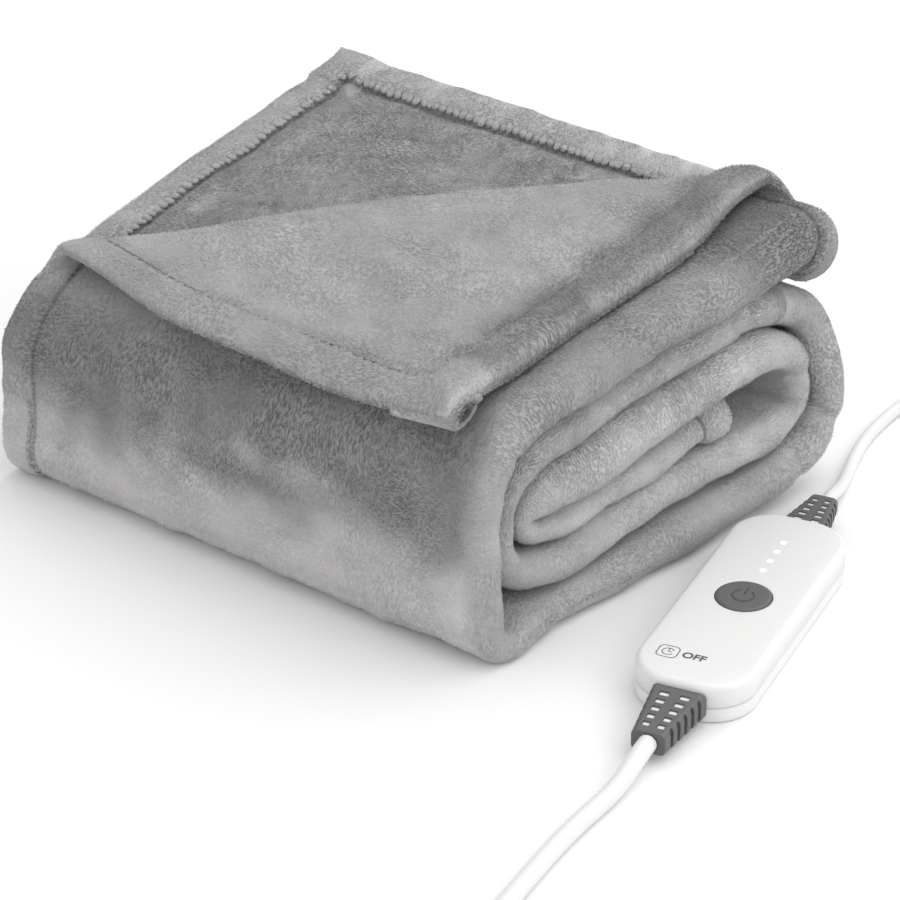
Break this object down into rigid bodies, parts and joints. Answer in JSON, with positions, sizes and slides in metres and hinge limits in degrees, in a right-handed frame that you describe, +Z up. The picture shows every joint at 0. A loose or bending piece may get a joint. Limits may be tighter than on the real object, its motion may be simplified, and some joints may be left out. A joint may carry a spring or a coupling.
{
  "type": "electric heated throw blanket with hand controller",
  "caption": "Plush heated throw, folded in four and rolled up, one corner turned back, with its hand controller and leads beside it.",
  "frame": {"origin": "on the flat underside of the rolled throw, under its middle, where it rests on the surface", "axes": "+Z up from the resting surface; +X along the roll towards the end that shows the turns; +Y from the front wall to the back of the roll"},
  "size_m": [0.4484, 0.79, 0.1633],
  "materials": {
    "grey_plush": "short-pile plush fleece",
    "white_plastic": "satin moulded plastic",
    "grey_rubber": "matt moulded rubber",
    "light_lens": "clear moulded lens",
    "white_sheath": "soft moulded sheath",
    "nickel": "nickel-plated"
  },
  "bodies": {
    "throw": {"blanket": "grey_plush", "controller_lower_shell": "white_plastic", "controller_upper_shell": "white_plastic", "light_1": "light_lens", "light_2": "light_lens", "light_3": "light_lens", "light_4": "light_lens", "mains_relief": "grey_rubber", "blanket_relief": "grey_rubber", "mains_lead": "white_sheath", "mains_coil": "white_sheath", "mains_plug": "white_sheath", "mains_blade_1": "nickel", "mains_blade_2": "nickel", "blanket_lead": "white_sheath", "blanket_lead_coil": "white_sheath", "blanket_connector": "grey_rubber"},
    "button": {"power_button": "grey_rubber"}
  },
  "joints": [
    {"name": "button_press", "type": "slide", "parent": "throw", "child": "button", "axis": [0, 0, -1], "range_m": [0, 0.001], "stiffness_N_per_m": 400}
  ]
}
